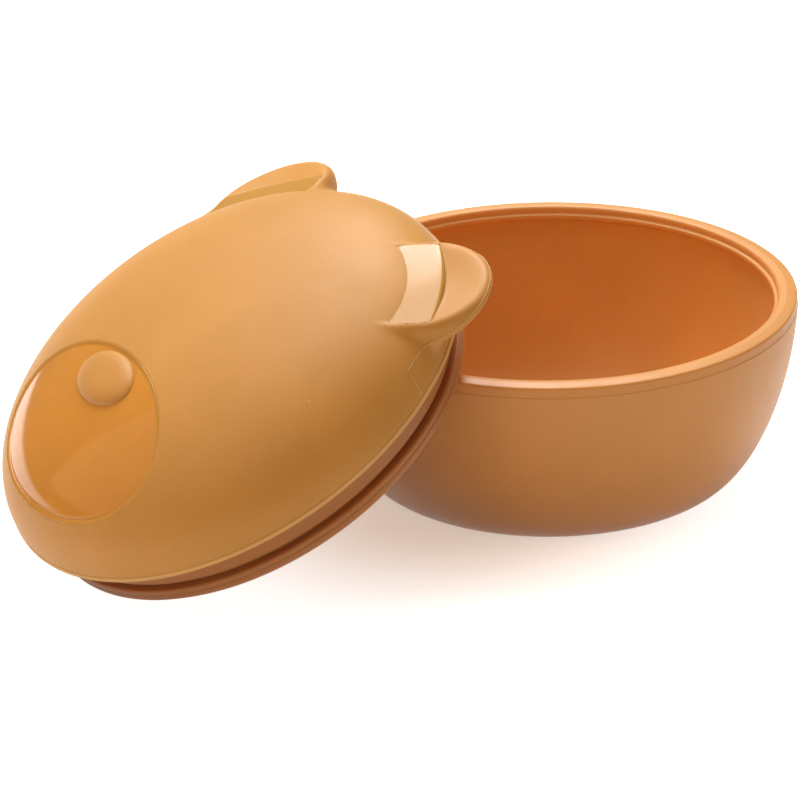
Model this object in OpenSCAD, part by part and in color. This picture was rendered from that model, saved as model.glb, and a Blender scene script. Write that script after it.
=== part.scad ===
// Snack container: a round bowl, and a domed bear-face lid that leans on its rim.
// Origin: centre of the bowl's flat base. +Z up, +X the way the leaning lid climbs.
// The lid is drawn upright in its own frame, z = 0 at the dome's edge and +X to the
// top of the head, and set in its resting place by on_lid().

/* [Bowl] */
// Outer radius of the bowl at its rim
bowl_r = 57.5; // [48:0.5:75]
// Height of the bowl
bowl_h = 44.5; // [34:0.5:56]
// Radius of the flat base
base_r = 39.5; // [30:0.5:44]
// Fullness of the bowl's wall, as the power of its curve
bowl_power = 1.7; // [1.4:0.01:2.4]
// Thickness of the wall
bowl_wall = 3.5; // [2.6:0.1:4.2]
// Thickness of the floor
bowl_floor = 3.5; // [2.5:0.1:6]
// Width of the thicker rim
rim_w = 4.7; // [4.4:0.1:6]
// Height of the thicker rim
rim_h = 3.6; // [2.6:0.1:6]
// Rounding of the rim's outer corner
rim_round = 1.4; // [0.5:0.1:1.6]
// Rounding of the rim's inner corner
mouth_round = 0.9; // [0.4:0.1:1.2]
// Size of the snap ridge inside the mouth
ridge_r = 0.8; // [0.4:0.1:1]
// Depth of the snap ridge below the rim
ridge_drop = 2.4; // [2:0.1:3]

/* [Lid dome] */
// Overhang of the lid's edge past the bowl's rim
lid_over = 0; // [-1:0.5:4]
// Height of the dome above its edge
dome_h = 24.8; // [20:0.1:36]
// Power of the dome's curve across the lid
dome_power_r = 2.35; // [2.1:0.01:3.2]
// Power of the dome's curve up the lid
dome_power_z = 2.2; // [2:0.01:2.6]
// Thickness of the dome at its crown
dome_wall = 3; // [2.6:0.1:4]
// Width of the dome's solid edge
edge_w = 4.5; // [3.8:0.1:6]
// Height of the straight land below the dome's edge
edge_land = 0.2; // [0.2:0.1:1.4]

/* [Lid collar and seal] */
// Clearance between the collar and the bowl's mouth
collar_gap = 0.5; // [0.3:0.1:2]
// Thickness of the collar's flange, and of its wall behind the groove
collar_wall = 2; // [1.8:0.1:3]
// Width of the seat under the dome's edge, on the collar's flange
seat_w = 2.2; // [1.2:0.1:3]
// Drop of the collar's foot below the dome's edge
collar_drop = 12; // [10:0.1:16]
// Height of the collar's foot below the groove
foot_h = 1; // [0.8:0.1:1.6]
// Reach of the collar's foot past the groove's bottom
foot_reach = 0.9; // [0.6:0.1:1.2]
// Rounding of the foot's corners
foot_round = 0.5; // [0.3:0.1:0.7]
// Depth of the groove that holds the seal ring
groove_d = 1.2; // [0.8:0.1:1.6]
// Height of the groove left open above the seal ring
groove_gap = 1.1; // [0.5:0.1:2]
// Height of the seal ring
ring_h = 3.2; // [2.6:0.1:4.5]
// Radius of each of the seal ring's two lips
lip_r = 0.8; // [0.5:0.1:1.1]
// Reach of the seal ring's lips past the collar's wall
lip_reach = 0.9; // [0.5:0.1:1.2]

/* [Ears] */
// Angle of each ear from the top of the head
ear_angle = 40; // [32:1:50]
// Distance of each ear's centre inside the lid's edge
ear_inset = 3.5; // [2:0.5:7]
// Height of each ear's rim above the dome, at that centre
ear_lift = 2; // [0.8:0.1:2.4]
// Turn of both ears against the muzzle, in the soft lid's slight twist
ear_skew = 4.5; // [-5:0.5:6]
// Outward droop of each ear's rim
ear_droop = 17; // [8:1:20]
// Radius of each ear
ear_r = 15; // [12.5:0.1:17]
// Thickness of each ear at its tip
ear_t = 3; // [2.4:0.1:5]
// Rounding of the ear's edges
ear_round = 2.2; // [1:0.1:2.6]
// Width of the rim round the dish in each ear
ear_rim = 3.2; // [2.4:0.1:5]
// Depth of the dish below the ear's rim
dish_depth = 1.9; // [1.2:0.1:2.2]
// Depth of the glossy inlay below the ear's rim
inlay_depth = 0.8; // [0.4:0.1:1]
// Thickness of the ear's inlay
inlay_t = 1.6; // [1.2:0.1:2]
// Reach of the inlay past the lid's edge
inlay_reach = 1.2; // [0.5:0.1:4]

/* [Face] */
// Distance from the lid's edge to the muzzle
muzzle_edge = 5.5; // [4:0.5:9]
// Half of the muzzle's width
muzzle_w = 31; // [24:0.5:34]
// Half of the muzzle's height
muzzle_l = 19; // [15:0.5:21]
// Depth of the muzzle's surface below the dome
muzzle_sink = 0.5; // [0.3:0.1:0.8]
// Thickness of the muzzle inlay
muzzle_t = 1.2; // [0.8:0.1:1.4]
// Distance from the muzzle's upper edge to the nose's centre
nose_drop = 7.4; // [7.2:0.1:16]
// Shift of the nose to the lid's left, in the same twist
nose_shift = 2.2; // [-2.2:0.1:2.2]
// Half of the nose's width
nose_w = 11; // [8:0.5:14]
// Half of the nose's height
nose_l = 6.5; // [5:0.5:6.5]
// Height of the nose above the dome
nose_rise = 1.2; // [0.3:0.1:2]

/* [Fit and rest] */
// Clearance round each inlay and round the collar's flange
fit = 0.05; // [0.02:0.01:0.2]
// Clearance between the leaning lid and the bowl's rim
clear = 0.3; // [0.2:0.05:0.5]
// Angle round the collar at which it meets the rim
bite_angle = 44; // [30:1:60]
// Turn of the lid about its own axis
lid_turn = -3; // [-10:1:10]

/* [Hidden] */
$fn = 96;
eps = 0.01;

OCHRE = [0.85, 0.60, 0.28];
GLOSS = [0.82, 0.54, 0.20];
BROWN = [0.68, 0.44, 0.28];

mouth_r = bowl_r - rim_w;

// The collar hangs from the dome's seat and reaches into the bowl's mouth.
lid_r = bowl_r + lid_over;
cavity_r = lid_r - edge_w;
flange_r = cavity_r + seat_w;
flange_top = collar_wall - edge_land;
collar_r = mouth_r - collar_gap;
groove_r = collar_r - groove_d;
bore_r = groove_r - collar_wall;
foot_r = groove_r + foot_reach;
ring_low = -collar_drop + foot_h;
lip_x = collar_r + lip_reach - lip_r;

// The lid stands on its foot or lower lip, and leans where the foot's inner corner
// crosses the bowl's rim.
foot_x = foot_r - foot_round;
foot_z = -collar_drop + foot_round;
bite_x = bore_r + foot_round;
lean = asin((bowl_h + clear) / (foot_x + bite_x * cos(bite_angle)));
lid_z = max(foot_x * sin(lean) - foot_z * cos(lean) + foot_round,
            lip_x * sin(lean) - (ring_low + lip_r) * cos(lean) + lip_r);
lid_x = -sqrt(pow(bowl_r, 2) - pow(bite_x * sin(bite_angle), 2))
        - bite_x * cos(bite_angle) * cos(lean) + foot_z * sin(lean);

// The face is placed from the lid's edge.
muzzle_x = lid_r - muzzle_edge - muzzle_l;
nose_x = muzzle_x - muzzle_l + nose_drop;
recess_t = muzzle_sink + muzzle_t;
ear_x = lid_r - ear_inset;
ear_z = dome_h * pow(1 - pow(ear_x / lid_r, dome_power_r), 1 / dome_power_z) + ear_lift;
ear_low = ear_z - ear_r * sin(ear_droop) - ear_t;
dish_r = ear_r - ear_rim;
inlay_r = lid_r + inlay_reach;

// A superellipse quarter, from (r, 0) up to (0, h).
function dome_points(r, h, steps = 26) =
    [for (i = [0:steps]) let (a = 90 * i / steps)
        [r * pow(cos(a), 2 / dome_power_r), h * pow(sin(a), 2 / dome_power_z)]];

// The bowl's wall, from (r0, z0) at its foot up to (r1, z1), where it is upright.
function wall_points(r0, z0, r1, z1, steps = 20) =
    [for (i = [0:steps]) let (a = 90 * i / steps)
        [r0 + (r1 - r0) * pow(sin(a), 2 / bowl_power),
         z0 + (z1 - z0) * (1 - pow(cos(a), 2 / bowl_power))]];

module dome_solid(r, h) {
    rotate_extrude() polygon(concat([[0, 0]], dome_points(r, h)));
}

module ellipse_prism(x, half_w, half_l, z0, z1) {
    steps = 72;
    translate([-x, 0, z0]) linear_extrude(z1 - z0)
        polygon([for (i = [0:steps - 1]) let (a = 360 * i / steps)
            [half_l * cos(a), half_w * sin(a)]]);
}

module on_lid() {
    translate([lid_x, 0, lid_z]) rotate([0, -lean, 0]) rotate([0, 0, lid_turn]) children();
}

// An ear's place: +X outward from the lid's axis, through the ear's centre.
module at_ear(side) {
    rotate([0, 0, side * ear_angle + ear_skew]) translate([ear_x, 0, 0]) children();
}

// The plane of an ear's rim, drooping outward: z = 0 on the rim.
module at_rim(side) {
    at_ear(side) translate([0, 0, ear_z]) rotate([0, ear_droop, 0]) children();
}

// A disc of radius r from z = 0 up to h, with its upper edge rounded.
module rounded_disc(r, h) {
    rotate_extrude() {
        square([r, h - ear_round]);
        square([r - ear_round, h]);
        translate([r - ear_round, h - ear_round]) circle(r = ear_round);
    }
}

// An upright lobe with a level, rounded underside, cut by the drooping plane of its rim.
module ear_lobe(side) {
    depth = 2 * ear_r;
    intersection() {
        at_ear(side) translate([0, 0, ear_low + depth]) rotate([180, 0, 0])
            rounded_disc(ear_r, depth);
        at_rim(side) translate([0, 0, -depth]) rounded_disc(ear_r / cos(ear_droop), depth);
    }
}

module ear_pocket(side, r, z0, z1) {
    at_rim(side) translate([0, 0, z0]) cylinder(r = r, h = z1 - z0);
}

// The bowl's hollow up to the underside of its rim, and the mouth through the rim.
module bowl_hollow() {
    under = bowl_h - rim_h;
    wall = [for (p = wall_points(base_r - bowl_wall, bowl_floor, bowl_r - bowl_wall, bowl_h + 1))
               if (p[1] < under - rim_w + bowl_wall) p];
    polygon(concat([[0, bowl_floor]], wall, [[mouth_r, under], [0, under]]));
    translate([0, under - eps]) square([mouth_r, rim_h + 1]);
    difference() {
        translate([mouth_r - eps, bowl_h - mouth_round]) square(mouth_round + eps);
        translate([mouth_r + mouth_round, bowl_h - mouth_round]) circle(r = mouth_round);
    }
}

module bowl() {
    color(OCHRE) rotate_extrude() {
        difference() {
            union() {
                polygon(concat([[0, 0]], wall_points(base_r, 0, bowl_r, bowl_h - rim_round),
                               [[0, bowl_h - rim_round]]));
                translate([0, bowl_h - rim_round - eps])
                    square([bowl_r - rim_round, rim_round + eps]);
                translate([bowl_r - rim_round, bowl_h - rim_round]) circle(r = rim_round);
            }
            bowl_hollow();
        }
        translate([mouth_r, bowl_h - ridge_drop]) circle(r = ridge_r);
    }
}

module lid_shell() {
    color(OCHRE) on_lid() difference() {
        union() {
            dome_solid(lid_r, dome_h);
            translate([0, 0, -edge_land]) cylinder(r = lid_r, h = edge_land + eps);
            for (side = [-1, 1]) ear_lobe(side);
        }
        // the hollow, and the seat for the collar's flange
        dome_solid(cavity_r, dome_h - dome_wall);
        translate([0, 0, -edge_land - 1]) cylinder(r = cavity_r, h = edge_land + 1 + eps);
        translate([0, 0, -edge_land - 1])
            cylinder(r = flange_r + fit, h = flange_top + edge_land + 1);
        // the dishes of the ears, which leave the dome's side whole
        difference() {
            for (side = [-1, 1]) {
                ear_pocket(side, dish_r, -dish_depth, ear_r);
                intersection() {
                    ear_pocket(side, dish_r, -inlay_depth - inlay_t, ear_r);
                    cylinder(r = inlay_r, h = 2 * dome_h);
                }
            }
            dome_solid(lid_r, dome_h);
        }
        // the muzzle's recess
        difference() {
            ellipse_prism(muzzle_x, muzzle_w, muzzle_l, flange_top, dome_h + 1);
            dome_solid(lid_r - recess_t, dome_h - recess_t);
        }
    }
}

module lid_collar() {
    color(BROWN) on_lid() rotate_extrude() {
        difference() {
            union() {
                translate([bore_r, -edge_land]) square([flange_r - bore_r, collar_wall]);
                translate([bore_r, ring_low - eps])
                    square([collar_r - bore_r, -edge_land - ring_low + 2 * eps]);
            }
            translate([groove_r, ring_low - 1])
                square([groove_d + 1, ring_h + groove_gap + 1]);
        }
        // the foot, with its lower corners rounded
        translate([bore_r, foot_z]) square([foot_r - bore_r, foot_h - foot_round]);
        translate([bite_x, -collar_drop]) square([foot_x - bite_x, foot_round + eps]);
        for (x = [bite_x, foot_x]) translate([x, foot_z]) circle(r = foot_round);
    }
}

module seal_ring() {
    color(BROWN) on_lid() rotate_extrude() {
        translate([groove_r, ring_low]) square([lip_x - groove_r, ring_h]);
        for (z = [lip_r, ring_h - lip_r])
            translate([lip_x, ring_low + z]) circle(r = lip_r);
    }
}

module nose_prism(gap, z0, z1) {
    translate([0, nose_shift, 0]) ellipse_prism(nose_x, nose_w + gap, nose_l + gap, z0, z1);
}

module muzzle_inlay() {
    color(GLOSS) on_lid() difference() {
        intersection() {
            ellipse_prism(muzzle_x, muzzle_w - fit, muzzle_l - fit, flange_top, dome_h);
            dome_solid(lid_r - muzzle_sink, dome_h - muzzle_sink);
        }
        dome_solid(lid_r - recess_t, dome_h - recess_t);
        nose_prism(fit, 0, dome_h + 1);
    }
}

module nose_button() {
    color(OCHRE) on_lid() difference() {
        intersection() {
            nose_prism(0, flange_top, 2 * dome_h);
            dome_solid(lid_r + nose_rise, dome_h + nose_rise);
        }
        dome_solid(lid_r - recess_t, dome_h - recess_t);
    }
}

// The glossy strip of an ear's dish, between the dome and an arc about the lid's axis.
module ear_inlay(side) {
    color(GLOSS) on_lid() difference() {
        intersection() {
            ear_pocket(side, dish_r - fit, -inlay_depth - inlay_t, -inlay_depth);
            cylinder(r = inlay_r - fit, h = 2 * dome_h);
        }
        dome_solid(lid_r, dome_h);
    }
}

module ear_inlay_left() ear_inlay(1);
module ear_inlay_right() ear_inlay(-1);

bowl();
lid_shell();
lid_collar();
seal_ring();
muzzle_inlay();
nose_button();
ear_inlay_left();
ear_inlay_right();
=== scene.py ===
"""Looks of the snack container: a round silicone bowl, and a bear-face lid leaning on its rim.

Drawn in millimetres; the lid is drawn upright in its own frame, z = 0 at the dome's edge
and +X to the top of the head, and set in its leaning place by LID.
"""
import math

import bmesh
import bpy
import numpy as np
from mathutils import Matrix, Vector


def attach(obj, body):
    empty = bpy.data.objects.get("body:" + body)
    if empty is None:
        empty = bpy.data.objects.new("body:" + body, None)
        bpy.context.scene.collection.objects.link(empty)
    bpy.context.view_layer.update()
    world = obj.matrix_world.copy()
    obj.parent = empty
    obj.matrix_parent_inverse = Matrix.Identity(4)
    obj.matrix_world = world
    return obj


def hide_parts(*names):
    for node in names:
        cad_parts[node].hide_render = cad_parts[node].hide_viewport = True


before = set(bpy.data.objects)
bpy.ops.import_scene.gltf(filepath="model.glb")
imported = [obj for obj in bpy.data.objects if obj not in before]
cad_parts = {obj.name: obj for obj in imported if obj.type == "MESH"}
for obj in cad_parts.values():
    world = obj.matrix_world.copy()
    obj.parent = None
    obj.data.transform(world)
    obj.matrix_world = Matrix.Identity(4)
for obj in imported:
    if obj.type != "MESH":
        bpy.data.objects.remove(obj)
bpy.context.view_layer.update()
MM = 0.001

# ---------------------------------------------------------------- sizes, in mm
# the bowl
BOWL_R, BOWL_H, BASE_R = 57.5, 44.5, 39.5
BOWL_POWER = 1.7  # fullness of the wall's curve
WALL, FLOOR = 3.5, 3.5
RIM_W, RIM_H = 4.7, 3.6
RIM_LINE = 2.9  # depth of the fine ledge round the rim's outer face
RIDGE_DROP, RIDGE_R = 2.4, 0.8  # the snap ridge inside the mouth
MOUTH_R = BOWL_R - RIM_W

# the lid's dome
LID_R, DOME_H = 57.5, 24.8
POWER_R, POWER_Z = 2.35, 2.2  # powers of the dome's curve, across the lid and up it
DOME_WALL, EDGE_W, EDGE_LAND = 3.0, 4.5, 0.2
EDGE_Z = 0.3  # where the matt dome ends over its lip, which is painted paler: a painted glow of light through the thin silicone
LAND_LINE = 1.45  # the fine line over the lip
CAVITY_R = LID_R - EDGE_W

# the collar under the dome, and its seal ring
FLANGE_R, FLANGE_TOP = CAVITY_R + 2.2, 1.8
COLLAR_WALL, COLLAR_GAP, COLLAR_DROP = 2.0, 0.5, 12.0
COLLAR_R = MOUTH_R - COLLAR_GAP
GROOVE_R = COLLAR_R - 1.2
BORE_R = GROOVE_R - COLLAR_WALL
FOOT_R, FOOT_H, FOOT_ROUND = GROOVE_R + 0.9, 1.0, 0.5
RING_LOW, RING_H, GROOVE_GAP = -COLLAR_DROP + FOOT_H, 3.2, 1.1
RING_TOP = RING_LOW + RING_H
GROOVE_TOP = RING_TOP + GROOVE_GAP
LIP_R = 0.8  # radius of each of the ring's two lips
LIP_X = COLLAR_R + 0.9 - LIP_R

# the ears, each with a cup and a glossy strip between the cup and the dome
EAR_ANGLE, EAR_SKEW, EAR_DROOP = math.radians(40), math.radians(4.5), math.radians(17)
EAR_R, EAR_T, EAR_RIM = 15.0, 3.0, 3.2
EAR_X = LID_R - 3.5
EAR_Z = DOME_H * (1 - (EAR_X / LID_R) ** POWER_R) ** (1 / POWER_Z) + 2.0
EAR_LOW = EAR_Z - EAR_R * math.sin(EAR_DROOP) - EAR_T
CUP_R, CUP_DEPTH = EAR_R - EAR_RIM + 0.6, 1.7
STRIP_START, STRIP_R, STRIP_W = 51, LID_R + 1.2, 13.2
STRIP_T, STRIP_ROUND = 0.5, 0.2

# the muzzle and the nose
MUZZLE_W, MUZZLE_L, MUZZLE_SINK, MUZZLE_T = 31.0, 19.0, 0.5, 1.2
MUZZLE_X = LID_R - 5.5 - MUZZLE_L
MUZZLE_STEP = 1.5  # width of the soft step round the muzzle
MUZZLE_DEEP = -MUZZLE_SINK - MUZZLE_T
NOSE_W, NOSE_L, NOSE_RISE, NOSE_SHIFT = 11.0, 6.5, 1.2, 2.2
NOSE_X = MUZZLE_X - MUZZLE_L + 7.4

# the fine mould lines: round an ear's edge, and from a kink down the dome's side
PARTING_Z, PARTING_R = 6.8, 0.13
PARTING_START, PARTING_TURN, PARTING_LEAN = (math.radians(a) for a in (17, 24.7, 1.8))

# the leaning lid's place, from where its collar meets the bowl's rim and the table
CLEAR, BITE = 0.3, math.radians(44)
foot_x, foot_z, bite_x = FOOT_R - FOOT_ROUND, -COLLAR_DROP + FOOT_ROUND, BORE_R + FOOT_ROUND
LEAN = math.asin((BOWL_H + CLEAR) / (foot_x + bite_x * math.cos(BITE)))
lid_z = max(foot_x * math.sin(LEAN) - foot_z * math.cos(LEAN) + FOOT_ROUND,
            LIP_X * math.sin(LEAN) - (RING_LOW + LIP_R) * math.cos(LEAN) + LIP_R)
lid_x = (-math.sqrt(BOWL_R ** 2 - (bite_x * math.sin(BITE)) ** 2)
         - bite_x * math.cos(BITE) * math.cos(LEAN) + foot_z * math.sin(LEAN))
LID = (Matrix.Translation((lid_x, 0, lid_z)) @ Matrix.Rotation(-LEAN, 4, "Y")
       @ Matrix.Rotation(math.radians(-3), 4, "Z"))

# how fine the meshes are
BOWL_SEGS = 288
LIP_SEGS = 320
RING_SEGS = 256
LID_STEP = 0.7
LID_DETAIL = ((2.2, 1.2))  # how far each finer level reaches from a seam
LID_LOW, LID_HIGH = (-59.3, -59.4, -2.6), (60.3, 59.4, 26.3)  # a box round the dome and ears
ARC_STEPS = 6


# ---------------------------------------------------------------- mesh helpers
def make_object(name, verts, faces, matrix=None):
    """A smooth-shaded object from points in mm, placed by matrix, in metres."""
    v = np.asarray(verts, float)
    if matrix is not None:
        m = np.array(matrix)
        v = v @ m[:3, :3].T + m[:3, 3]
    mesh = bpy.data.meshes.new(name)
    mesh.from_pydata((v * MM).tolist(), [], [list(map(int, f)) for f in faces])
    bm = bmesh.new()
    bm.from_mesh(mesh)
    bmesh.ops.recalc_face_normals(bm, faces=bm.faces)
    bm.to_mesh(mesh)
    bm.free()
    mesh.polygons.foreach_set("use_smooth", [True] * len(mesh.polygons))
    mesh.update()
    obj = bpy.data.objects.new(name, mesh)
    bpy.context.scene.collection.objects.link(obj)
    return obj


def rounded(points, closed=True):
    """A polyline whose corners (x, y, radius) are rounded, with a guard point beside each arc."""
    guard, most = 1.25, 0.48  # the guard's place, and the most of an edge that an arc may take
    out, n = [], len(points)
    for i, (x, y, r) in enumerate(points):
        p = np.array([x, y], float)
        if r <= 0 or (not closed and i in (0, n - 1)):
            out.append(p)
            continue
        a, b = (np.array(points[(i + k) % n][:2], float) - p for k in (-1, 1))
        la, lb = np.linalg.norm(a), np.linalg.norm(b)
        a, b = a / la, b / lb
        half = math.acos(max(-1, min(1, float(a @ b)))) / 2
        t = min(r / math.tan(half), most * la, most * lb)
        r = t * math.tan(half)
        centre = p + (a + b) / np.linalg.norm(a + b) * r / math.sin(half)
        s, e = p + a * t - centre, p + b * t - centre
        turn = math.atan2(s[0] * e[1] - s[1] * e[0], float(s @ e))
        out.append(p + a * t * guard)
        for k in range(ARC_STEPS + 1):
            c, q = math.cos(turn * k / ARC_STEPS), math.sin(turn * k / ARC_STEPS)
            out.append(centre + np.array([s[0] * c - s[1] * q, s[0] * q + s[1] * c]))
        out.append(p + b * t * guard)
    return np.array(out)


def ring_faces(rings, segs, closed=False):
    """Quads between rings of segs points each; closed joins the last ring to the first."""
    faces = []
    for i in range(rings if closed else rings - 1):
        for k in range(segs):
            j, l = (i + 1) % rings, (k + 1) % segs
            faces.append((i * segs + k, i * segs + l, j * segs + l, j * segs + k))
    return faces


def fan_faces(rings, segs):
    """Fans that close the first and last ring onto two centre points, which follow the rings."""
    first, last, row = rings * segs, rings * segs + 1, (rings - 1) * segs
    faces = []
    for k in range(segs):
        l = (k + 1) % segs
        faces.append((first, l, k))
        faces.append((last, row + k, row + l))
    return faces


def lathe(name, profile, segs, matrix=None):
    """A solid of revolution: the profile (r, z) is a closed ring, or runs from axis to axis."""
    profile = np.asarray(profile, float)
    poles = profile[0, 0] < 1e-9 and profile[-1, 0] < 1e-9
    ring = profile[1:-1] if poles else profile
    a = np.arange(segs) * 2 * math.pi / segs
    verts = [(r * c, r * s, z) for r, z in ring for c, s in zip(np.cos(a), np.sin(a))]
    faces = ring_faces(len(ring), segs, closed=not poles)
    if poles:
        verts += [(0, 0, profile[0, 1]), (0, 0, profile[-1, 1])]
        faces += fan_faces(len(ring), segs)
    return make_object(name, verts, faces, matrix)


# ---------------------------------------------------------------- the lid's solid, as a distance
def smin(a, b, k):
    """The lower of two distances, blended where they are closer than k."""
    h = np.maximum(k - np.abs(a - b), 0) / k
    return np.minimum(a, b) - h * h * k / 4


def smax(a, b, k):
    return -smin(-a, -b, k)


def dome(p, r, h):
    """Distance to a superellipse dome that goes on below z = 0 as a cylinder."""
    u = np.hypot(p[:, 0], p[:, 1]) / r
    w = np.maximum(p[:, 2], 0) / h
    slope = np.hypot(POWER_R / r * u ** (POWER_R - 1), POWER_Z / h * w ** (POWER_Z - 1))
    return (u ** POWER_R + w ** POWER_Z - 1) / np.maximum(slope, 0.02)


def dome_z(x, y, r, h):
    """Height of the dome above a point of the lid's plane."""
    u = np.minimum(np.hypot(x, y) / r, 1)
    return h * (1 - u ** POWER_R) ** (1 / POWER_Z)


def muzzle_oval(p):
    """Distance to an upright prism on the muzzle's outline."""
    gx, gy = (p[:, 0] + MUZZLE_X) / MUZZLE_L, p[:, 1] / MUZZLE_W
    f = np.hypot(gx, gy)
    slope = np.hypot(gx / MUZZLE_L, gy / MUZZLE_W) / np.maximum(f, 1e-6)
    return (f - 1) / np.maximum(slope, 1 / MUZZLE_W)


def muzzle_step(e):
    """Depth of the soft step down to the muzzle, at a distance e outside the muzzle's outline."""
    t = np.clip(0.5 - e / MUZZLE_STEP, 0, 1)
    return MUZZLE_SINK * t * t * (3 - 2 * t)


def muzzle_top(p):
    """Distance to the muzzle's face, with the lower half of the soft step round it."""
    return dome(p, LID_R, DOME_H) + muzzle_step(muzzle_oval(p)) - 0.02


def ear_frame(p, side):
    """A point about an ear's centre: x outward, y along the lid's edge, z above the rim's plane."""
    turn = side * EAR_ANGLE + EAR_SKEW
    c, s = math.cos(turn), math.sin(turn)
    x, y = p[:, 0] * c + p[:, 1] * s - EAR_X, -p[:, 0] * s + p[:, 1] * c
    return x, y, (p[:, 2] - EAR_Z) * math.cos(EAR_DROOP) + x * math.sin(EAR_DROOP)


def ear_place(x, y, z, side):
    """The opposite of ear_frame: a point of the lid's frame, from its place about an ear's centre."""
    turn = side * EAR_ANGLE + EAR_SKEW
    c, s = math.cos(turn), math.sin(turn)
    z = EAR_Z + (z - x * math.sin(EAR_DROOP)) / math.cos(EAR_DROOP)
    x = x + EAR_X
    return np.stack([x * c - y * s, x * s + y * c, z], -1)


def strip_height(r):
    """Height of the glossy strip over the plane of the ear's rim, by distance from the lid's axis."""
    return 0.05 - 0.55 * (r - STRIP_START) / (STRIP_R - STRIP_START)


def ear(p, side):
    """An upright lobe under a drooping rim, with a cup that opens to the dome."""
    x, y, z = ear_frame(p, side)
    lobe = smax(smax(np.hypot(x, y) - EAR_R, z, 2.6), EAR_LOW - p[:, 2], 2.2)
    # the cup is widest by the dome, and deepest at its middle
    share = np.hypot(np.maximum(x, 0), y) / (CUP_R + 0.9 * np.clip(-x / 4, 0, 1))
    cup = -(z + CUP_DEPTH * (1 - share ** 2.4)) / np.hypot(1, 2 * CUP_DEPTH * share / CUP_R)
    past_strip = STRIP_R - 0.05 - np.hypot(p[:, 0], p[:, 1])
    return smax(lobe, -smax(cup, past_strip, 0.2), 1.5)


def strip_bed(p, side):
    """The crisp pocket that holds the glossy strip."""
    y, z = ear_frame(p, side)[1:]
    r = np.hypot(p[:, 0], p[:, 1])
    round_it = np.maximum(np.maximum(r - STRIP_R, 45 - r), np.abs(y) - STRIP_W)
    return np.maximum(round_it, strip_height(r) - 0.25 - z)


def lid_distance(p):
    """Distance to the lid's dome, with its ears, its recesses and its hollow."""
    muzzle = muzzle_oval(p)
    plain = dome(p, LID_R, DOME_H) + np.where(p[:, 2] > 3, muzzle_step(muzzle), 0)
    d = smin(plain, np.minimum(ear(p, 1), ear(p, -1)), 2.2)
    # the strips' pockets, which leave the dome's side whole
    d = np.maximum(d, np.minimum(plain, -np.minimum(strip_bed(p, 1), strip_bed(p, -1))))
    # a fine line over the dome's edge
    d = d + 0.14 * np.exp(-((p[:, 2] - LAND_LINE) / 0.15) ** 2)
    d = smax(d, EDGE_Z - p[:, 2], 0.4)
    recess = smax(muzzle, -dome(p, LID_R + MUZZLE_DEEP, DOME_H + MUZZLE_DEEP), 0.3)
    d = smax(d, -recess, 0.25)
    hollow = dome(p, CAVITY_R, DOME_H - DOME_WALL)
    seat = np.maximum(np.hypot(p[:, 0], p[:, 1]) - FLANGE_R - 0.05, p[:, 2] - FLANGE_TOP)
    return smax(d, -np.minimum(hollow, seat), 0.3)


# ---------------------------------------------------------------- meshes from a distance
def surface_nets(f, low, high, step):
    """Quads round the zero of f, one point in each cell that it crosses."""
    axes = [np.arange(a, b + step, step) for a, b in zip(low, high)]
    grid = np.stack(np.meshgrid(*axes, indexing="ij"), -1)
    shape = grid.shape[:3]
    d = np.concatenate([f(slab.reshape(-1, 3)) for slab in grid]).reshape(shape)
    inside = d < 0
    cells = tuple(n - 1 for n in shape)
    corners = [(i, j, k) for i in (0, 1) for j in (0, 1) for k in (0, 1)]

    def at(a, c):
        return a[c[0]:c[0] + cells[0], c[1]:c[1] + cells[1], c[2]:c[2] + cells[2]]

    count = sum(at(inside, c).astype(np.int8) for c in corners)
    active = (count > 0) & (count < 8)
    index = np.full(cells, -1)
    index[active] = np.arange(active.sum())

    # each cell's point is the mean of the places where f crosses its edges
    place, total = np.argwhere(active), np.zeros((active.sum(), 3))
    hits = np.zeros(len(place))
    for c in corners:
        for axis in range(3):
            if c[axis]:
                continue
            e = list(c)
            e[axis] = 1
            a, b = at(d, c)[active], at(d, e)[active]
            cross = (a < 0) != (b < 0)
            q = np.tile(np.array(c, float), (len(place), 1))
            q[:, axis] += a / np.where(a == b, 1, a - b)
            total[cross] += q[cross]
            hits += cross
    verts = np.array(low) + step * (place + total / hits[:, None])

    # a quad across each grid edge that f crosses, from the four cells round it
    faces = []
    for axis in range(3):
        u, v = (axis + 1) % 3, (axis + 2) % 3
        head, tail = [slice(None)] * 3, [slice(None)] * 3
        head[axis], tail[axis] = slice(0, -1), slice(1, None)
        e = np.argwhere(inside[tuple(head)] != inside[tuple(tail)])
        e = e[(e[:, u] > 0) & (e[:, v] > 0)]
        quad = []
        for du, dv in ((1, 1), (0, 1), (0, 0), (1, 0)):
            c = e.copy()
            c[:, u] -= du
            c[:, v] -= dv
            quad.append(index[c[:, 0], c[:, 1], c[:, 2]])
        quad = np.stack(quad, -1)
        out = inside[tuple(head)][e[:, 0], e[:, 1], e[:, 2]]
        quad[~out] = quad[~out][:, ::-1]
        faces.append(quad)
    faces = np.concatenate(faces)
    return verts, faces[(faces >= 0).all(1)]


def settle(v, f, rounds=3):
    """Moves points onto the zero of f, along its gradient."""
    reach, furthest = 0.02, 0.6
    for _ in range(rounds):
        g = np.empty_like(v)
        for axis in range(3):
            h = np.zeros(3)
            h[axis] = reach
            g[:, axis] = (f(v + h) - f(v - h)) / (2 * reach)
        size = np.maximum((g ** 2).sum(1), 0.05)
        v = v - np.clip(f(v) / size, -furthest, furthest)[:, None] * g
    return v


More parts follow.
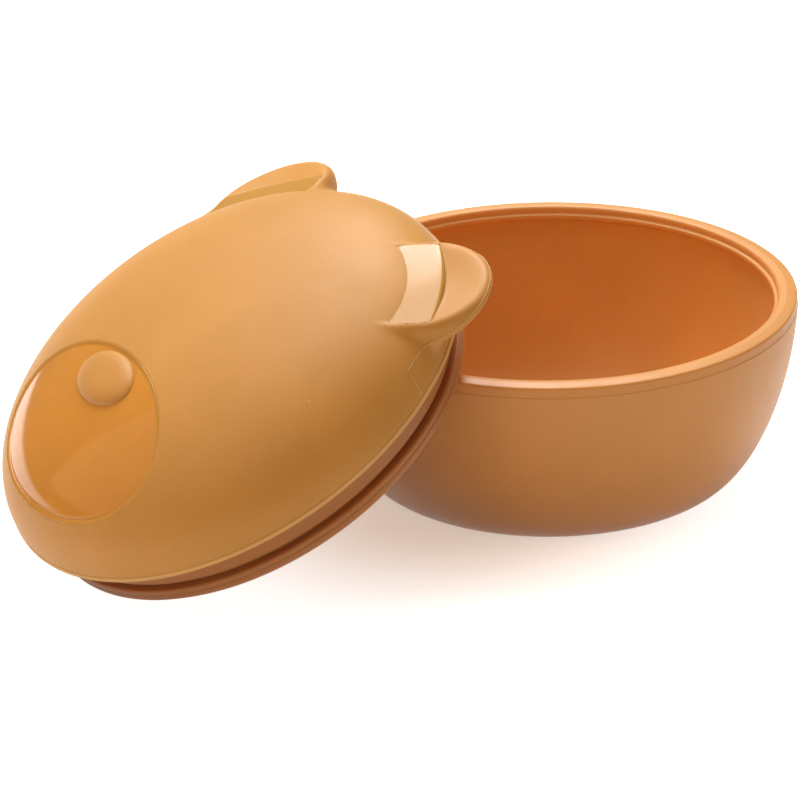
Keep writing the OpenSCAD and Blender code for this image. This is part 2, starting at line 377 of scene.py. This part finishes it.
def relax(v, faces, f, rounds):
    """Evens the spacing of the points, and puts them back on the zero of f."""
    a, b = faces.ravel(), np.roll(faces, -1, 1).ravel()
    for _ in range(rounds):
        total, n = np.zeros_like(v), np.zeros(len(v))
        for i, j in ((a, b), (b, a)):
            for axis in range(3):
                total[:, axis] += np.bincount(i, v[j, axis], len(v))
            n += np.bincount(i, minlength=len(v))
        v = settle(v * 0.4 + 0.6 * total / n[:, None], f, 1)
    return v


def refine(bm, wanted):
    """Splits the faces whose points are all wanted, once."""
    pick = wanted(np.array([v.co for v in bm.verts]))
    edges = {e for face in bm.faces if all(pick[v.index] for v in face.verts)
             for e in face.edges}
    bmesh.ops.subdivide_edges(bm, edges=list(edges), cuts=1, use_grid_fill=True)
    bm.verts.ensure_lookup_table()
    bm.verts.index_update()


def near_detail(reach):
    """A test of points for the muzzle's seam and the dome's edge, within reach of them."""
    def wanted(p):
        outer = dome(p, LID_R - 2.2, DOME_H - 2.2) > 0
        seam = (np.abs(muzzle_oval(p)) < reach) & (p[:, 2] > 3) & outer
        edge = (np.hypot(p[:, 0], p[:, 1]) > LID_R - reach) & (p[:, 2] < reach * 0.6 + 1.3)
        return seam | edge
    return wanted


def lid_shell_mesh():
    """The dome's mesh, with finer quads along the muzzle's seam and the dome's edge."""
    v, faces = surface_nets(lid_distance, LID_LOW, LID_HIGH, LID_STEP)
    v = settle(v, lid_distance)
    v = relax(v, faces, lid_distance, 3)
    bm = bmesh.new()
    for p in v:
        bm.verts.new(p)
    bm.verts.ensure_lookup_table()
    for q in faces:
        bm.faces.new([bm.verts[i] for i in q])
    bm.verts.index_update()
    for reach in LID_DETAIL:
        refine(bm, near_detail(reach))
        p = settle(np.array([x.co for x in bm.verts]), lid_distance)
        for x, co in zip(bm.verts, p):
            x.co = co
    verts = np.array([x.co for x in bm.verts])
    faces = [[x.index for x in face.verts] for face in bm.faces]
    bm.free()
    return verts, faces


# ---------------------------------------------------------------- shapes of the pieces
def wall_points(r0, z0, r1, z1, steps=28):
    """The bowl's wall, from (r0, z0) at its foot up to (r1, z1), where it is upright."""
    a = np.linspace(0, math.pi / 2, steps + 1)
    return np.stack([r0 + (r1 - r0) * np.sin(a) ** (2 / BOWL_POWER),
                     z0 + (z1 - z0) * (1 - np.maximum(np.cos(a), 0) ** (2 / BOWL_POWER))], -1)


def bowl_profile():
    """The bowl's section, from the centre of its base round the rim to the centre of its floor."""
    outer = wall_points(BASE_R, 0, BOWL_R, BOWL_H - 1.6)
    outer = outer[outer[:, 1] < BOWL_H - RIM_LINE]
    # the rim's outer face stands back a little, over a ledge that catches the light
    rim_r, ledge_z = BOWL_R - 0.14, BOWL_H - RIM_LINE
    ledge = [[BOWL_R - 0.03, ledge_z], [rim_r, ledge_z + 0.12], [rim_r, ledge_z + 0.2]]
    mouth, ridge_z = MOUTH_R + 0.1, BOWL_H - RIDGE_DROP
    under = BOWL_H - RIM_H
    rim = rounded([(rim_r, BOWL_H - 3, 0), (rim_r, BOWL_H - 0.55, 1.2),
                   (BOWL_R - 1.1, BOWL_H - 0.3, 0.8), (BOWL_R - 2.6, BOWL_H, 2.0),
                   (mouth, BOWL_H - 0.15, 0.95), (MOUTH_R, ridge_z + 0.7, 0.3),
                   (MOUTH_R - RIDGE_R, ridge_z + 0.45, 0.45),
                   (MOUTH_R - RIDGE_R, ridge_z - 0.55, 0.45),
                   (mouth, ridge_z - 0.9, 0.2), (mouth, under - 0.3, 0)], closed=False)[1:]
    inner = wall_points(BASE_R - WALL, FLOOR, BOWL_R - WALL, BOWL_H + 1)
    inner = inner[inner[:, 1] < under - RIM_W + WALL][::-1]
    floor_r = np.linspace(BASE_R - WALL, 0, 8)[1:]
    floor = np.stack([floor_r, np.full(len(floor_r), FLOOR)], -1)
    base = np.array([[0, 0], [18, 0], [36, 0], [38.6, 0]])
    return np.concatenate([base, outer, ledge, rim, inner, floor])


def parting_line(side):
    """The fine mould line round an ear's edge, which turns down the dome's side by the muzzle."""
    edge = np.radians(np.linspace(-84, 84, 80))
    along, down = np.linspace(0, 1, 12), np.linspace(0, 1, 24)
    turn = PARTING_START + (PARTING_TURN - PARTING_START) * along
    drop = PARTING_TURN + PARTING_LEAN * down
    far, kink_z = 0.98 * LID_R, PARTING_Z + 1
    path = np.concatenate([
        np.stack([EAR_X + EAR_R * np.cos(edge), EAR_R * np.sin(edge),
                  np.full(len(edge), PARTING_Z)], -1),
        np.stack([far * np.cos(turn), far * np.sin(turn), kink_z - 0.6 * (1 - along)], -1),
        np.stack([far * np.cos(drop), far * np.sin(drop),
                  kink_z + (LAND_LINE - kink_z) * down], -1)[1:]]) * [1, side, 1]
    turn = side * EAR_ANGLE + EAR_SKEW
    c, s = math.cos(turn), math.sin(turn)
    path = path @ np.array([[c, s, 0], [-s, c, 0], [0, 0, 1]])
    path = settle(path, lid_distance, 8)

    # a thin tube along the path
    tangent = np.gradient(path, axis=0)
    tangent /= np.linalg.norm(tangent, axis=1)[:, None]
    out = path * [1, 1, 0] / np.hypot(path[:, 0], path[:, 1])[:, None]
    side_way = np.cross(tangent, out)
    side_way /= np.linalg.norm(side_way, axis=1)[:, None]
    out = np.cross(side_way, tangent)
    sides, n = 6, len(path)
    a = np.arange(sides)[None, :, None] * 2 * math.pi / sides
    ring = np.cos(a) * out[:, None] + np.sin(a) * side_way[:, None]
    verts = (path[:, None] + PARTING_R * ring).reshape(-1, 3)
    ends = [list(range(sides)), [(n - 1) * sides + k for k in range(sides)]]
    return verts, ring_faces(n, sides) + ends


def patch_solid(name, top, depth, matrix):
    """A closed plate from a grid of top points (rows, columns, 3), with its under side depth lower."""
    n, m = top.shape[:2]
    under = top - np.array([0, 0, depth])
    verts = np.concatenate([top.reshape(-1, 3), under.reshape(-1, 3)])
    faces = []
    for i in range(n - 1):
        for j in range(m - 1):
            q = [i * m + j, (i + 1) * m + j, (i + 1) * m + j + 1, i * m + j + 1]
            faces += [q, [k + n * m for k in q[::-1]]]
    edge = ([(i, 0) for i in range(n)] + [(n - 1, j) for j in range(1, m)]
            + [(i, m - 1) for i in range(n - 2, -1, -1)] + [(0, j) for j in range(m - 2, 0, -1)])
    k = [i * m + j for i, j in edge]
    for a, b in zip(k, k[1:] + k[:1]):
        faces.append([a, b, b + n * m, a + n * m])
    return make_object(name, verts, faces, matrix)


def oval_plate(name, rows, x, half_w, half_l, segs, shift=0.0, fit_top=None):
    """A closed oval plate on the dome, centred at -x.

    rows are those of its upper and its lower side, centre first, each (scale of the oval,
    mm past it, lift over the dome). shift is its shift across the lid; fit_top, where
    given, is the distance that the rows of the upper side are settled on.
    """
    a = np.arange(segs) * 2 * math.pi / segs

    def row(scale, past, lift):
        px = -x + (scale * half_l + past) * np.cos(a)
        py = shift + (scale * half_w + past) * np.sin(a)
        return np.stack([px, py, dome_z(px, py, LID_R + lift, DOME_H + lift)], -1)

    upper, lower = ([row(*r) for r in side] for side in rows)
    if fit_top is not None:
        upper = [settle(r, fit_top, 4) for r in upper]
    rings = upper + lower
    crown, under = rings[0].mean(0), rings[-1].mean(0)
    if fit_top is not None:
        crown = settle(crown[None], fit_top, 4)[0]
    verts = np.concatenate(rings + [crown[None], under[None]])
    return make_object(name, verts, ring_faces(len(rings), segs) + fan_faces(len(rings), segs), LID)


def muzzle_plate():
    inside = [(k, -0.8, -MUZZLE_SINK) for k in np.linspace(0.06, 1, 34)]
    step_rows = [(1, e, -0.3) for e in np.linspace(-0.7, 0.3, 9)]
    low_z = MUZZLE_DEEP + 0.05
    lower = [(1, -0.05, -0.6), (1, -0.05, low_z), (0.5, 0, low_z)]
    return oval_plate("muzzle_plate", (inside + step_rows, lower), MUZZLE_X, MUZZLE_W, MUZZLE_L,
                      224, fit_top=muzzle_top)


def nose_pad():
    # a pillow, flat on its top and steep at its edge
    share = 1 - np.linspace(1, 0, 22)[1:] ** 1.8
    upper = [(k, 0, -MUZZLE_SINK + (MUZZLE_SINK + NOSE_RISE) * (1 - k ** 4) ** 0.6) for k in share]
    lower = [(1, 0, MUZZLE_DEEP), (0.5, 0, MUZZLE_DEEP)]
    return oval_plate("nose_pad", (upper, lower), NOSE_X, NOSE_W, NOSE_L, 96, shift=NOSE_SHIFT)


def ear_strip(name, side):
    """The glossy strip between the dome and an ear's cup, bounded by a ring about the lid's axis."""
    n, m = 60, 16
    inner_r, reach = 49.6, STRIP_W + 0.1
    limit = math.asin(reach / inner_r) - 0.002
    top = np.empty((n, m, 3))
    for i, d in enumerate(np.linspace(-limit, limit, n)):
        # the ends of the strip are parallel to the ear's midline
        last = min(STRIP_R, reach / max(abs(math.sin(d)), 1e-6))
        r = np.linspace(inner_r, last, m)
        x, y = r * math.cos(d) - EAR_X, r * math.sin(d)
        roll = np.maximum(r - (STRIP_R - STRIP_ROUND), 0)
        fall = STRIP_ROUND - np.sqrt(np.maximum(STRIP_ROUND ** 2 - roll ** 2, 0))
        top[i] = ear_place(x, y, strip_height(r) - fall, side)
    return patch_solid(name, top, STRIP_T, LID)


# ---------------------------------------------------------------- the pieces
SIDES = (("left", 1), ("right", -1))
bowl = lathe("bowl_shell", bowl_profile(), BOWL_SEGS)
shell = make_object("lid_dome", *lid_shell_mesh(), LID)
# the thin lip along the dome's edge, painted paler than the dome: a painted glow of the light that the
# thin silicone lets through
lip = lathe("lid_edge_lip", rounded([
    (LID_R - 0.6, EDGE_Z - 0.04, 0.1), (LID_R + 0.13, EDGE_Z - 0.04, 0.2),
    (LID_R + 0.1, LAND_LINE - 0.12, 0.25), (LID_R - 0.6, LAND_LINE - 0.12, 0.1)]), LIP_SEGS, LID)
mould_lines = [make_object(f"mould_line_{word}", *parting_line(side), LID) for word, side in SIDES]
collar = lathe("lid_collar_ring", rounded([
    (BORE_R, FLANGE_TOP, 0.4), (BORE_R, -COLLAR_DROP, 0.5), (FOOT_R, -COLLAR_DROP, 0.5),
    (FOOT_R, RING_LOW, 0.2), (GROOVE_R, RING_LOW, 0.1), (GROOVE_R, GROOVE_TOP, 0.35),
    (COLLAR_R, GROOVE_TOP, 0.45), (COLLAR_R, -EDGE_LAND, 0.4), (FLANGE_R, -EDGE_LAND, 0.3),
    (FLANGE_R, FLANGE_TOP, 0.2)]), RING_SEGS, LID)
# the seal ring, with a fine groove between its two lips
seal = lathe("seal_ring_lips", rounded([
    (GROOVE_R + 0.02, RING_LOW + 0.02, 0.15), (LIP_X + LIP_R, RING_LOW + 0.02, 0.75),
    (LIP_X + LIP_R, RING_LOW + 1.5, 0.4), (LIP_X + LIP_R - 0.14, RING_LOW + 1.72, 0.3),
    (LIP_X + LIP_R, RING_LOW + 1.95, 0.4), (LIP_X + LIP_R, RING_TOP, 0.75),
    (GROOVE_R + 0.02, RING_TOP, 0.2)]), RING_SEGS, LID)
muzzle = muzzle_plate()
nose = nose_pad()
strips = {word: ear_strip(f"ear_strip_{word}", side) for word, side in SIDES}


# ---------------------------------------------------------------- materials
def linear(r, g, b):
    """An sRGB colour of 0 to 255, as linear RGBA."""
    def one(c):
        c /= 255
        return c / 12.92 if c <= 0.04045 else ((c + 0.055) / 1.055) ** 2.4
    return (one(r), one(g), one(b), 1)


def shade(colour, k):
    return tuple(min(c * k, 1) for c in colour[:3]) + (1,)


def add_node(tree, kind, inputs, **settings):
    """A new node with its settings; each input takes a value, or a link from another's output."""
    node = tree.nodes.new(kind)
    for name, value in settings.items():
        setattr(node, name, value)
    for name, value in inputs.items():
        if isinstance(value, bpy.types.NodeSocket):
            tree.links.new(value, node.inputs[name])
        else:
            node.inputs[name].default_value = value
    return node


def maths(tree, operation, *values):
    return add_node(tree, "ShaderNodeMath", dict(enumerate(values)), operation=operation).outputs[0]


def mixed(tree, factor, a, b):
    """A colour between a and b."""
    inputs = {"Factor": factor, "A": a, "B": b}
    return add_node(tree, "ShaderNodeMix", inputs, data_type="RGBA").outputs["Result"]


LINT = linear(252, 214, 150)


def silicone(name, colour, roughness, grain, coat=0.0, sheen=0.1, mottle=0.05):
    """Moulded silicone: cloudy colour, fine matt grain, faint flow waves, pale lint specks."""
    mat = bpy.data.materials.new(name)
    mat.use_nodes = True
    tree = mat.node_tree
    bsdf = tree.nodes["Principled BSDF"]
    place = add_node(tree, "ShaderNodeTexCoord", {}).outputs["Object"]

    def noise(scale, detail, rough=0.5):
        inputs = {"Scale": scale, "Detail": detail, "Roughness": rough, "Vector": place}
        return add_node(tree, "ShaderNodeTexNoise", inputs).outputs["Fac"]

    def ramp(source, *stops):
        r = add_node(tree, "ShaderNodeValToRGB", {"Fac": source})
        for element, (position, value) in zip(r.color_ramp.elements, stops):
            element.position, element.color = position, value
        return r.outputs["Color"]

    def grey(k):
        return (k, k, k, 1)

    clouds = ramp(noise(38, 3), (0.3, shade(colour, 1 - mottle)), (0.7, shade(colour, 1 + mottle)))
    # lint and pinholes, a fraction of a millimetre across
    dots = add_node(tree, "ShaderNodeTexVoronoi", {"Scale": 210, "Vector": place})
    dot = ramp(dots.outputs["Distance"], (0.03, grey(1)), (0.055, grey(0)))
    few = ramp(noise(95, 1), (0.62, grey(0)), (0.66, grey(1)))
    specks = maths(tree, "MULTIPLY", maths(tree, "MULTIPLY", dot, few), 0.6)
    tree.links.new(mixed(tree, specks, clouds, LINT), bsdf.inputs["Base Color"])

    worn = ramp(noise(60, 4, 0.6), (0.3, grey(roughness - 0.05)), (0.7, grey(roughness + 0.05)))
    tree.links.new(worn, bsdf.inputs["Roughness"])

    height = maths(tree, "MULTIPLY_ADD", noise(2600, 2, 0.6), grain, noise(55, 2))
    bump = add_node(tree, "ShaderNodeBump", {"Strength": 0.35, "Distance": 0.00022, "Height": height})
    tree.links.new(bump.outputs["Normal"], bsdf.inputs["Normal"])

    for socket, value in (("IOR", 1.43), ("Subsurface Weight", 0.3), ("Subsurface Scale", 0.0025),
                          ("Subsurface Radius", (1.0, 0.45, 0.18)), ("Sheen Weight", sheen),
                          ("Sheen Roughness", 0.5), ("Coat Weight", coat),
                          ("Coat Roughness", 0.04)):
        bsdf.inputs[socket].default_value = value
    return mat


OCHRE = linear(217, 159, 74)
matt = silicone("silicone_matt_ochre", OCHRE, 0.5, 0.5)
# the bowl is the same silicone as the lid, painted lighter than the lid's matt ochre: painted light
# for the brighter light on the bowl
bowl_matt_painted_light = silicone("silicone_matt_bowl_painted_light", linear(229, 165, 88), 0.43, 0.5)
gloss = silicone("silicone_gloss_ochre", linear(226, 157, 64), 0.1, 0.04, coat=0.3, sheen=0,
                 mottle=0.07)
strip_gloss = silicone("silicone_gloss_strip", OCHRE, 0.14, 0.04, coat=0.05, sheen=0)
# a paler copy of the ochre silicone: painted glow of light through the thin lip, and a painted
# highlight along the mould lines
edge_painted_glow = silicone("silicone_thin_edge_painted_glow", linear(238, 184, 108), 0.5, 0.3)
# a darker copy of the lid's ochre silicone: painted shade for the collar and the seal ring under the
# dome's overhang
painted_shade_ochre = silicone("silicone_collar_painted_shade", linear(192, 129, 68), 0.45, 0.35, mottle=0.04)


def dress(obj, mat, body, slot, *nodes):
    """Gives a piece its material and its body, and hides the nodes that it stands for; slot is not
    used.
    """
    obj.data.materials.append(mat)
    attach(obj, body)
    if nodes:
        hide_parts(*nodes)


dress(bowl, bowl_matt_painted_light, "bowl", "matt_ochre", "bowl")
dress(shell, matt, "lid", "matt_ochre", "lid_shell")
# the lip and the mould lines take the paler silicone: painted glow and painted highlight
for line in [lip] + mould_lines:
    dress(line, edge_painted_glow, "lid", "matt_ochre")
# the collar and the seal ring take the darker silicone as painted shade
dress(collar, painted_shade_ochre, "lid", "collar_brown", "lid_collar")
dress(seal, painted_shade_ochre, "lid", "collar_brown", "seal_ring")
dress(muzzle, gloss, "lid", "gloss_ochre", "muzzle_inlay")
dress(nose, matt, "lid", "matt_ochre", "nose_button")
for word, strip in strips.items():
    dress(strip, strip_gloss, "lid", "gloss_ochre", f"ear_inlay_{word}")

# ---------------------------------------------------------------- camera
CAMERA_AT = Vector((-0.60315, -1.03524, 0.53205))
LOOK_AT = Vector((-0.01144, 0.05205, 0.0))
ROLL = -0.01694
back = (CAMERA_AT - LOOK_AT).normalized()
right = Vector((0, 0, 1)).cross(back).normalized()
up = back.cross(right)
turned = Matrix((right * math.cos(ROLL) + up * math.sin(ROLL),
                 up * math.cos(ROLL) - right * math.sin(ROLL), back)).transposed()
camera = bpy.data.cameras.new("camera")
camera.sensor_width = 36
camera.sensor_fit = "HORIZONTAL"
camera.lens = 251.49
camera.clip_end = 50
camera_object = bpy.data.objects.new("camera", camera)
camera_object.matrix_world = Matrix.Translation(CAMERA_AT) @ turned.to_4x4()
bpy.context.scene.collection.objects.link(camera_object)
bpy.context.scene.camera = camera_object


# ---------------------------------------------------------------- floor, lights, world
def floor_plane():
    """A pale floor, with a painted warm shadow in the hollow between the lid and the bowl, and white
    beyond it.
    """
    mesh = bpy.data.meshes.new("floor")
    s = 4.0
    mesh.from_pydata([(-s, -s, 0), (s, -s, 0), (s, s, 0), (-s, s, 0)], [], [(0, 1, 2, 3)])
    obj = bpy.data.objects.new("floor", mesh)
    bpy.context.scene.collection.objects.link(obj)
    mat = bpy.data.materials.new("floor_white")
    mat.use_nodes = True
    tree = mat.node_tree
    bsdf = tree.nodes["Principled BSDF"]
    bsdf.inputs["Base Color"].default_value = (0.86, 0.85, 0.84, 1)
    bsdf.inputs["Roughness"].default_value = 0.9
    bsdf.inputs["Specular IOR Level"].default_value = 0.1

    rays = add_node(tree, "ShaderNodeLightPath", {}).outputs
    place = add_node(tree, "ShaderNodeTexCoord", {}).outputs["Object"]
    # a painted shadow: camera rays see the floor warm and darker round a fixed point between the lid
    # and the bowl, fading to white further out
    away = add_node(tree, "ShaderNodeVectorMath", {0: place, 1: (-0.03, -0.005, 0)},
                    operation="DISTANCE")
    painted_shadow_fade = add_node(tree, "ShaderNodeMapRange",
                    {"From Min": 0.015, "From Max": 0.075, "Value": away.outputs["Value"]},
                    interpolation_type="SMOOTHSTEP")
    floor_with_painted_shadow = mixed(tree, painted_shadow_fade.outputs["Result"], (0.52, 0.45, 0.39, 1), (0.95, 0.95, 0.95, 1))
    glow = mixed(tree, rays["Is Camera Ray"], (0.8, 0.8, 0.8, 1), floor_with_painted_shadow)
    seen = maths(tree, "MAXIMUM", rays["Is Camera Ray"], rays["Is Glossy Ray"])
    tree.links.new(glow, bsdf.inputs["Emission Color"])
    tree.links.new(seen, bsdf.inputs["Emission Strength"])
    mesh.materials.append(mat)


floor_plane()
AWAY = Vector((back.x, back.y, 0)).normalized()
SIDE = Vector((right.x, right.y, 0)).normalized()
AIM = Vector((-0.035, 0, 0.03))
WHITE, WARM = (1, 1, 1), (1, 0.71, 0.52)
LIGHTS = [
    # name, degrees round from the camera to the right, height in degrees, metres away, size,
    # level, colour
    ("key", -165, 58, 1.3, 1.0, 12.4, WHITE),
    ("back", 180, 50, 1.3, 0.4, 5.0, WHITE),
    ("top", 90, 85, 1.4, 1.0, 1.2, WHITE),
    ("left", -95, 25, 1.3, 0.8, 1.0, WARM),
    ("front_left", -58, 50, 1.4, 0.8, 3.8, WARM),
    ("front", 30, 6, 1.5, 0.8, 1.2, WARM),
]
for name, turn, height, far, size, power, colour in LIGHTS:
    t, h = math.radians(turn), math.radians(height)
    way = (AWAY * math.cos(t) + SIDE * math.sin(t)) * math.cos(h) + Vector((0, 0, math.sin(h)))
    lamp = bpy.data.lights.new(name, "AREA")
    lamp.shape = "SQUARE"
    lamp.size = size
    lamp.energy = power
    lamp.color = colour
    obj = bpy.data.objects.new(name, lamp)
    obj.location = AIM + way * far
    obj.rotation_euler = way.to_track_quat("Z", "Y").to_euler()
    bpy.context.scene.collection.objects.link(obj)

# a white background, and a warm fill from all round
world = bpy.data.worlds.new("studio")
bpy.context.scene.world = world
world.use_nodes = True
sky = world.node_tree
seen = add_node(sky, "ShaderNodeLightPath", {}).outputs["Is Camera Ray"]
level = add_node(sky, "ShaderNodeMapRange", {"To Min": 0.23, "To Max": 1.0, "Value": seen})
background = sky.nodes["Background"]
sky.links.new(level.outputs["Result"], background.inputs["Strength"])
sky.links.new(mixed(sky, seen, WARM + (1,), WHITE + (1,)), background.inputs["Color"])
bpy.context.scene.view_settings.view_transform = "Standard"
